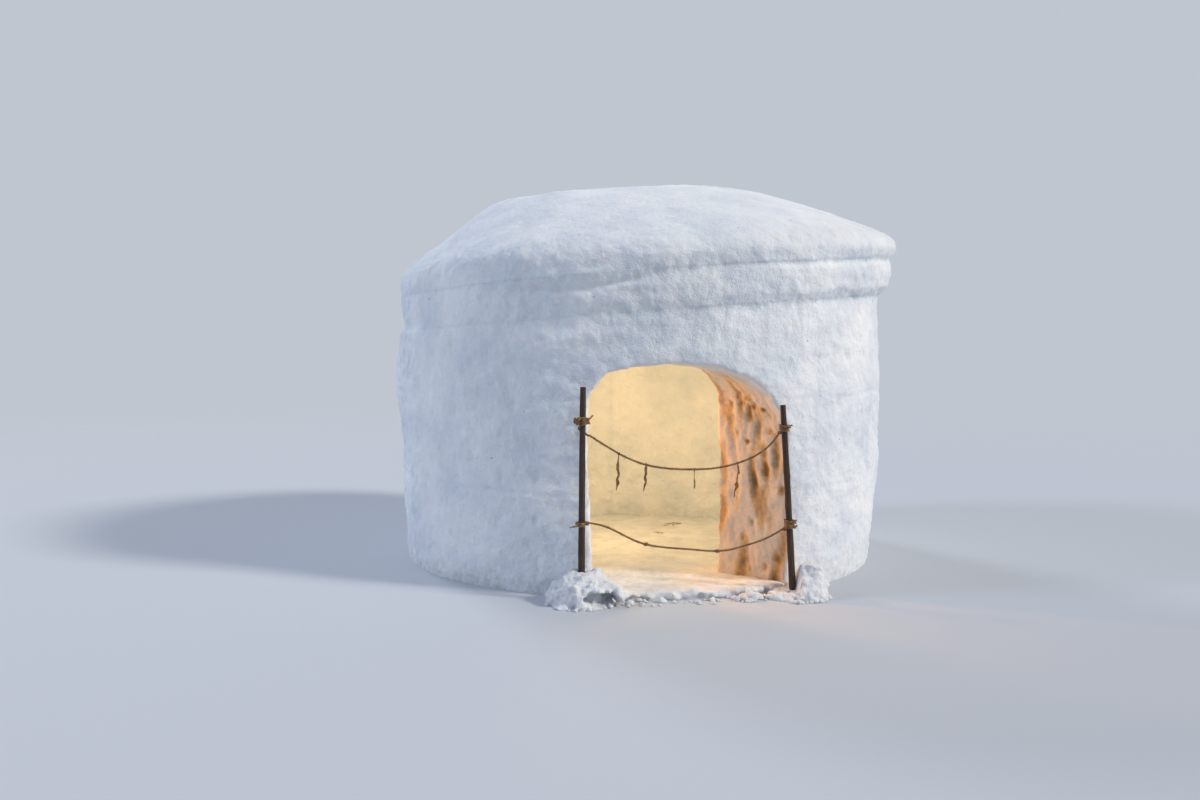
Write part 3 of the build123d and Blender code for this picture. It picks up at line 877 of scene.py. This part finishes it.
# parts of the wall: the azimuths from the doorway where each starts and ends, and what it stands for
walls = {
    "frontWall": (-75, 75, ["door_left_pier", "door_right_pier", "door_arch", "wall_right_front",
                            "wall_left_front"]),
    "rightWall": (75, 180, ["wall_right", "wall_right_rear", "wall_rear_right"]),
    "leftWall": (-180, -75, ["wall_left", "wall_left_rear", "wall_rear_left"]),
}
wallNames = [n for _, _, names in walls.values() for n in names]
bandNames = [n for n in nodes if n.startswith("band_")]
roofNames = [n for n in nodes if n.startswith("roof_")]
bm = bmesh.new()
for node in wallNames + bandNames + roofNames:
    bm.from_mesh(sunkCopy(node, hut["sunkFoot"]))
skin = fused(bm, "skin", hut["skin"], hut["softening"])
print("snow fused:", len(skin.faces), "faces")
workOver(skin)
print("snow worked over")

waist = rimFoot + tilt * hut["waist"]
standsFor = {name: names for name, (_, _, names) in walls.items()}
standsFor.update({"rimBand": bandNames, "roofCap": roofNames})
for name, replaced in standsFor.items():
    bm = skin.copy()
    if name in walls:
        start, end, _ = walls[name]
        cutBelow(bm, rimFoot, -tilt)
        wedgeOf(bm, start, end)
    elif name == "rimBand":
        cutBelow(bm, rimFoot, tilt)
        cutBelow(bm, waist, -tilt)
    else:
        cutBelow(bm, waist, tilt)
    piece = newPiece(name, meshOf(bm, name), snowMaterial, replaced)
    print(name, len(piece.data.polygons), "faces")
skin.free()

# Lumps of shovelled snow, which are pressed into the heaps and the sill or lie loose
lumps = {"facets": 2, "roughness": 0.5, "across": (0.8, 1.25), "up": (0.6, 0.95), "waves": 1.4}


def addLump(bm, rng, place, size):
    made = bmesh.ops.create_icosphere(bm, subdivisions=lumps["facets"], radius=size)["verts"]
    squeeze = [rng.uniform(*lumps[way]) for way in ("across", "across", "up")]
    bmesh.ops.scale(bm, vec=squeeze, verts=made)
    turned = Matrix.Rotation(rng.uniform(0, math.tau), 3, "Z")
    bmesh.ops.rotate(bm, cent=(0, 0, 0), matrix=turned, verts=made)
    shift = Vector((rng.uniform(0, 99), rng.uniform(0, 99), 0))
    for vert in made:
        away = vert.co.normalized()
        rough = noise.fractal(away * lumps["waves"] + shift, 0.8, 2.1, 3)
        vert.co += away * size * lumps["roughness"] * rough
    bmesh.ops.translate(bm, vec=place, verts=made)
    return made


# Floor of the room and the sill, trodden uneven, with crumbs along the sill's foot
floorWork = {
    "skin": 0.015, "softening": 7, "sunkFoot": 0.15, "seed": 8, "crumbs": 60,
    # what stands for it, and how much each is widened so that the wall closes over its edge
    "widenings": {"snow_floor": (1.025, 1.025, 1), "door_sill": (1.03, 1.0, 1)},
    "tread": 0.018, "treadSize": 0.26, "grit": 0.008, "gritWaves": 11, "sideGrit": 0.010, "sideWaves": 9,
    # larger lumps on the sill: place and size
    "chunks": (((0.347, -1.775, 0.048), 0.034), ((0.405, -1.765, 0.036), 0.030),
               ((0.290, -1.780, 0.040), 0.024), ((0.470, -1.740, 0.040), 0.030),
               ((-0.430, -1.745, 0.045), 0.036), ((-0.350, -1.770, 0.035), 0.026),
               ((0.080, -1.785, 0.040), 0.022), ((-0.120, -1.790, 0.036), 0.026)),
}


def makeFloor():
    rng = random.Random(floorWork["seed"])
    bm = bmesh.new()
    for node, widening in floorWork["widenings"].items():
        bm.from_mesh(sunkCopy(node, floorWork["sunkFoot"], widening))
    for _ in range(floorWork["crumbs"]):
        x = rng.uniform(-0.50, 0.56)
        y = -math.sqrt(wallFootRadius ** 2 - x ** 2) + rng.uniform(-0.035, 0.02)
        addLump(bm, rng, (x, y, rng.uniform(0.0, 0.045)), rng.uniform(0.012, 0.032))
    for place, size in floorWork["chunks"]:
        addLump(bm, rng, place, size)
    bm = fused(bm, "floor", floorWork["skin"], floorWork["softening"])
    for vert in bm.verts:
        place = vert.co
        if vert.normal.z > 0.2:
            tread = noise.voronoi(place / floorWork["treadSize"] + Vector((4, 2, 1)))[0][0]
            change = floorWork["tread"] * (min(tread, 0.8) - 0.55)
            change += floorWork["grit"] * noise.fractal(place * floorWork["gritWaves"], 0.8, 2.1, 4)
            place.z += change
        else:
            rough = noise.fractal(place * floorWork["sideWaves"], 0.8, 2.1, 4)
            vert.co = place + vert.normal * floorWork["sideGrit"] * rough
    cutBelow(bm, (0, 0, 0), (0, 0, 1))
    return newPiece("troddenFloor", meshOf(bm, "troddenFloor"), troddenMaterial,
                    list(floorWork["widenings"]))


troddenFloor = makeFloor()
print("floor trodden")

# Bits of straw that have dropped from the ropes and been trodden about
fallen = {
    "seed": 51, "thickness": 0.0016, "lift": 0.0012, "curl": 0.003,
    # the middle of a spot, its spread, how many lie there and how long they are at most
    "spots": ((0.428, 0.661, 0.060, 16, 0.075), (0.224, 0.275, 0.040, 9, 0.050)),
}


def makeFallenStraw():
    rng = random.Random(fallen["seed"])
    bpy.context.view_layer.update()
    straws = []
    for x, y, spread, count, longest in fallen["spots"]:
        for _ in range(count):
            middle = Vector((x + rng.uniform(-spread, spread), y + rng.uniform(-spread, spread), 0.5))
            turn, length = rng.uniform(0, math.tau), longest * rng.uniform(0.4, 1.0)
            straw = []
            for share in (-0.5, -0.17, 0.17, 0.5):
                bent = turn + 0.5 * share * rng.uniform(-1, 1)
                above = middle + length * share * Vector((math.cos(bent), math.sin(bent), 0))
                met, place, _, _ = troddenFloor.ray_cast(above, Vector((0, 0, -1)))
                if met:
                    straw.append(place + Vector((0, 0, fallen["lift"] + fallen["curl"] * abs(share))))
            if len(straw) == 4:
                straws.append(straw)
    mesh = strandMesh("fallenStraw", straws, fallen["thickness"], 0)
    return newPiece("fallenStraw", mesh, streamerMaterial)


makeFallenStraw()
print("straw dropped")

# Heaps that hold the stakes: lumps thrown up with a shovel. Rings of height, radius and shift to the right.
# Chunks are a place and a size, and hollows a place, a radius and a depth.
heaps = {
    "left": {
        "seed": 31, "lumps": 110,
        "rings": ((0, 0.215, 0), (0.075, 0.200, 0.006), (0.145, 0.145, 0.016), (0.195, 0.075, 0.026)),
        "chunks": (((-0.640, -1.900, 0.135), 0.040), ((-0.560, -1.880, 0.128), 0.042),
                   ((-0.500, -1.880, 0.105), 0.046), ((-0.468, -1.895, 0.062), 0.044),
                   ((-0.545, -1.930, 0.105), 0.026), ((-0.610, -1.950, 0.108), 0.028)),
        # a hole under the crust: its middle across and up, its half sizes, its depth and its ragged edge
        "pocket": ((-0.588, 0.055), (0.110, 0.042), 0.105), "ragged": 0.5, "edge": 0.45,
    },
    "right": {
        "seed": 32, "lumps": 90,
        "rings": ((0, 0.185, 0.035), (0.055, 0.150, 0.062), (0.110, 0.108, 0.090), (0.205, 0.050, 0.108)),
        "chunks": (((0.702, -1.870, 0.110), 0.044), ((0.768, -1.845, 0.185), 0.036),
                   ((0.560, -1.850, 0.020), 0.032), ((0.605, -1.895, 0.020), 0.028),
                   ((0.530, -1.800, 0.025), 0.032), ((0.650, -1.935, 0.020), 0.030)),
        "hollows": (((0.735, -1.900, 0.150), 0.028, 0.022),),
        # left of an edge the heap has been trodden down to a low height, and rises steeply right of it
        "trodden": (0.664, 0.036), "steep": 6, "spared": 0.12,
    },
    "skin": 0.0080, "softening": 2, "sunkFoot": 0.08, "smallest": 0.010, "largest": 0.040,
    "lump": 0.018, "lumpWaves": 11, "crumb": 0.009, "crumbWaves": 30,
    # lumps thin out upwards, lie at this share of the radius out, and are sunk by this share of their size
    "thinning": 1.3, "outward": (0.86, 1.0), "sunkShare": 0.35, "heightShare": 0.97,
}


def makeHeap(side):
    node, spec = side + "_heap", heaps[side]
    rng = random.Random(spec["seed"])
    foot, rings = stakePoint(side, 0), spec["rings"]
    bm = bmesh.new()
    bm.from_mesh(sunkCopy(node, heaps["sunkFoot"]))
    for _ in range(spec["lumps"]):
        share = rng.random() ** heaps["thinning"] * (len(rings) - 1)
        lower = min(int(share), len(rings) - 2)
        height, radius, shift = (a + (b - a) * (share - lower)
                                 for a, b in zip(rings[lower], rings[lower + 1]))
        turn, size = rng.uniform(0, math.tau), rng.uniform(heaps["smallest"], heaps["largest"])
        reach = radius * rng.uniform(*heaps["outward"]) - size * heaps["sunkShare"]
        height *= heaps["heightShare"]
        place = foot + Vector((shift + reach * math.cos(turn), reach * math.sin(turn), height))
        if math.hypot(place.x, place.y) > wallFootRadius - 0.03:
            addLump(bm, rng, place, size)
    for place, size in spec["chunks"]:
        addLump(bm, rng, place, size)
    bm = fused(bm, node, heaps["skin"], heaps["softening"])
    shift = Vector((spec["seed"], spec["seed"] * 1.7, 0))
    for vert in bm.verts:
        place = vert.co
        change = heaps["lump"] * noise.noise(place * heaps["lumpWaves"] + shift)
        change += heaps["crumb"] * noise.fractal(place * heaps["crumbWaves"] + shift, 0.7, 2.1, 3)
        for centre, radius, depth in spec.get("hollows", ()):
            change -= depth * bell((place - Vector(centre)).length, radius)
        vert.co = place + vert.normal * change
        if "pocket" in spec and vert.co.y < -wallFootRadius - 0.07:
            (across, height), (halfAcross, halfHeight), depth = spec["pocket"]
            away = ((vert.co.x - across) / halfAcross) ** 2 + ((vert.co.z - height) / halfHeight) ** 2
            inwards = (1.15 - away + spec["ragged"] * noise.noise(place * 22)) / spec["edge"]
            vert.co.y += depth * min(1.0, max(0.0, inwards))
        if "trodden" in spec:
            edge, low = spec["trodden"]
            ceiling = low + spec["steep"] * max(0.0, vert.co.x - edge) + 0.012 * noise.noise(place * 25)
            vert.co.z = min(vert.co.z, ceiling + spec["spared"] * max(0.0, vert.co.z - ceiling))
    cutBelow(bm, (0, 0, 0), (0, 0, 1))
    return newPiece(side + "Heap", meshOf(bm, side + "Heap"), troddenMaterial, [node])


for side in ("left", "right"):
    makeHeap(side)
print("heaps thrown up")

# Loose crumbs that have rolled from the heaps and the sill
crumbs = {
    "seed": 21, "smallest": 0.007, "largest": 0.022, "beforeSill": 34, "byHeap": 26,
    # larger clods: place on the ground and size
    "clods": ((0.325, -1.850, 0.036), (0.372, -1.842, 0.046), (0.415, -1.836, 0.034), (0.270, -1.868, 0.024),
              (0.345, -1.900, 0.020), (-0.405, -1.865, 0.026), (-0.335, -1.895, 0.020),
              (-0.200, -1.830, 0.024), (0.120, -1.842, 0.022), (0.500, -1.842, 0.028),
              (0.020, -1.885, 0.018)),
}


def makeCrumbs():
    rng = random.Random(crumbs["seed"])
    bm = bmesh.new()
    spots = [(rng.uniform(-0.45, 0.50), rng.uniform(-1.93, -1.78)) for _ in range(crumbs["beforeSill"])]
    for side in ("left", "right"):
        foot, (_, radius, shift) = stakePoint(side, 0), heaps[side]["rings"][0]
        for _ in range(crumbs["byHeap"]):
            turn, far = rng.uniform(math.pi, math.tau), radius * rng.uniform(0.96, 1.08)
            spots.append((foot.x + shift + far * math.cos(turn), foot.y + far * math.sin(turn)))
    smallest, largest = crumbs["smallest"], crumbs["largest"]
    sized = [(x, y, smallest + (largest - smallest) * rng.random() ** 2) for x, y in spots]
    for x, y, size in sized + list(crumbs["clods"]):
        made = addLump(bm, rng, (x, y, size * 0.4), size)
        for vert in made:
            vert.co.z = max(vert.co.z, 0.0)
    return newPiece("snowCrumbs", meshOf(bm, "snowCrumbs"), troddenMaterial)


makeCrumbs()
print("crumbs dropped")

# Studio: a pale floor that fades into a pale backdrop, soft lights, and a warm lamp's glow in the room
studio = {
    "floorColour": "#BEC4CD", "backdrop": "#C0C6CF", "floorRadius": 22.0, "fadeStart": 5.0,
    "skyStrength": 0.42, "skyColour": "#E6EEFB",
    # direction each light comes from, strength, colour and angle of softness in degrees
    "lights": {"keyLight": ((0.86, -0.50, 0.62), 2.35, "#FFF6EA", 9),
               "fillLight": ((-0.95, 0.03, 0.52), 0.90, "#DCE7FF", 14),
               "backLight": ((-0.35, 0.85, 0.55), 0.85, "#F2F6FF", 14)},
    "lampPlace": (-0.20, -0.10, 1.15), "lampPower": 30, "lampColour": "#FFD290", "lampSize": 0.25,
    # a warmer light across the room on the jamb
    "glowPlace": (-0.93, -0.60, 1.18), "glowAim": (0.45, -1.47, 0.62), "glowSize": 0.07, "glowPower": 88,
    "glowColour": "#FFA84C", "glowCone": math.radians(58), "glowBlend": 0.6,
}


def makeStudio():
    bm = bmesh.new()
    bmesh.ops.create_circle(bm, cap_ends=True, segments=96, radius=studio["floorRadius"])
    material, tree, shader = newMaterial("studioFloor", {"Base Color": linear(studio["floorColour"]),
                                                         "Roughness": 0.9})
    place = addNode(tree, "TexCoord").outputs["Object"]
    far = addNode(tree, "VectorMath", {"operation": "LENGTH"}, {0: place})
    fade = addNode(tree, "MapRange", {"From Min": studio["fadeStart"], "From Max": studio["floorRadius"] - 1,
                                      "interpolation_type": "SMOOTHSTEP"}, {"Value": far.outputs["Value"]})
    clear = addNode(tree, "BsdfTransparent")
    mixed = addNode(tree, "MixShader", {}, {0: fade.outputs["Result"], 1: shader.outputs["BSDF"],
                                            2: clear.outputs["BSDF"]})
    output = next(n for n in tree.nodes if n.type == "OUTPUT_MATERIAL")
    tree.links.new(mixed.outputs["Shader"], output.inputs["Surface"])
    floor = placed("studioFloor", meshOf(bm, "studioFloor", False))
    floor.data.materials.append(material)

    world = bpy.data.worlds.new("studio")
    scene.world = world
    world.use_nodes = True
    tree = world.node_tree
    tree.nodes.clear()
    path = addNode(tree, "LightPath")
    seen = addNode(tree, "Math", {"operation": "MAXIMUM"},
                   {0: path.outputs["Is Camera Ray"], 1: path.outputs["Is Glossy Ray"]})
    seenThrough = addNode(tree, "Math", {"operation": "MAXIMUM"},
                          {0: seen.outputs["Value"], 1: path.outputs["Is Transmission Ray"]})
    sky = addNode(tree, "Background", {"Color": linear(studio["skyColour"]),
                                       "Strength": studio["skyStrength"]})
    backdrop = addNode(tree, "Background", {"Color": linear(studio["backdrop"]), "Strength": 1.0})
    mixed = addNode(tree, "MixShader", {}, {0: seenThrough.outputs["Value"], 1: sky.outputs["Background"],
                                            2: backdrop.outputs["Background"]})
    addNode(tree, "OutputWorld", {}, {"Surface": mixed.outputs["Shader"]})


def aimed(light, direction):
    light.rotation_euler = direction.to_track_quat("-Z", "Y").to_euler()


def addLight(name, kind, colour, settings):
    data = bpy.data.lights.new(name, kind)
    data.color = linear(colour)[:3]
    for key, value in settings.items():
        setattr(data, key, value)
    return placed(name, data)


makeStudio()
for name, (fromWhere, strength, colour, softness) in studio["lights"].items():
    light = addLight(name, "SUN", colour, {"energy": strength, "angle": math.radians(softness)})
    aimed(light, -Vector(fromWhere))
lamp = addLight("roomLamp", "POINT", studio["lampColour"], {"energy": studio["lampPower"],
                                                            "shadow_soft_size": studio["lampSize"]})
glow = addLight("jambGlow", "SPOT", studio["glowColour"], {
    "energy": studio["glowPower"], "shadow_soft_size": studio["glowSize"],
    "spot_size": studio["glowCone"], "spot_blend": studio["glowBlend"],
})
aimed(glow, Vector(studio["glowAim"]) - Vector(studio["glowPlace"]))
for light, place in ((lamp, studio["lampPlace"]), (glow, studio["glowPlace"])):
    light.location = place
    light.visible_camera = False
scene.view_settings.view_transform = "Standard"
print("studio lit")
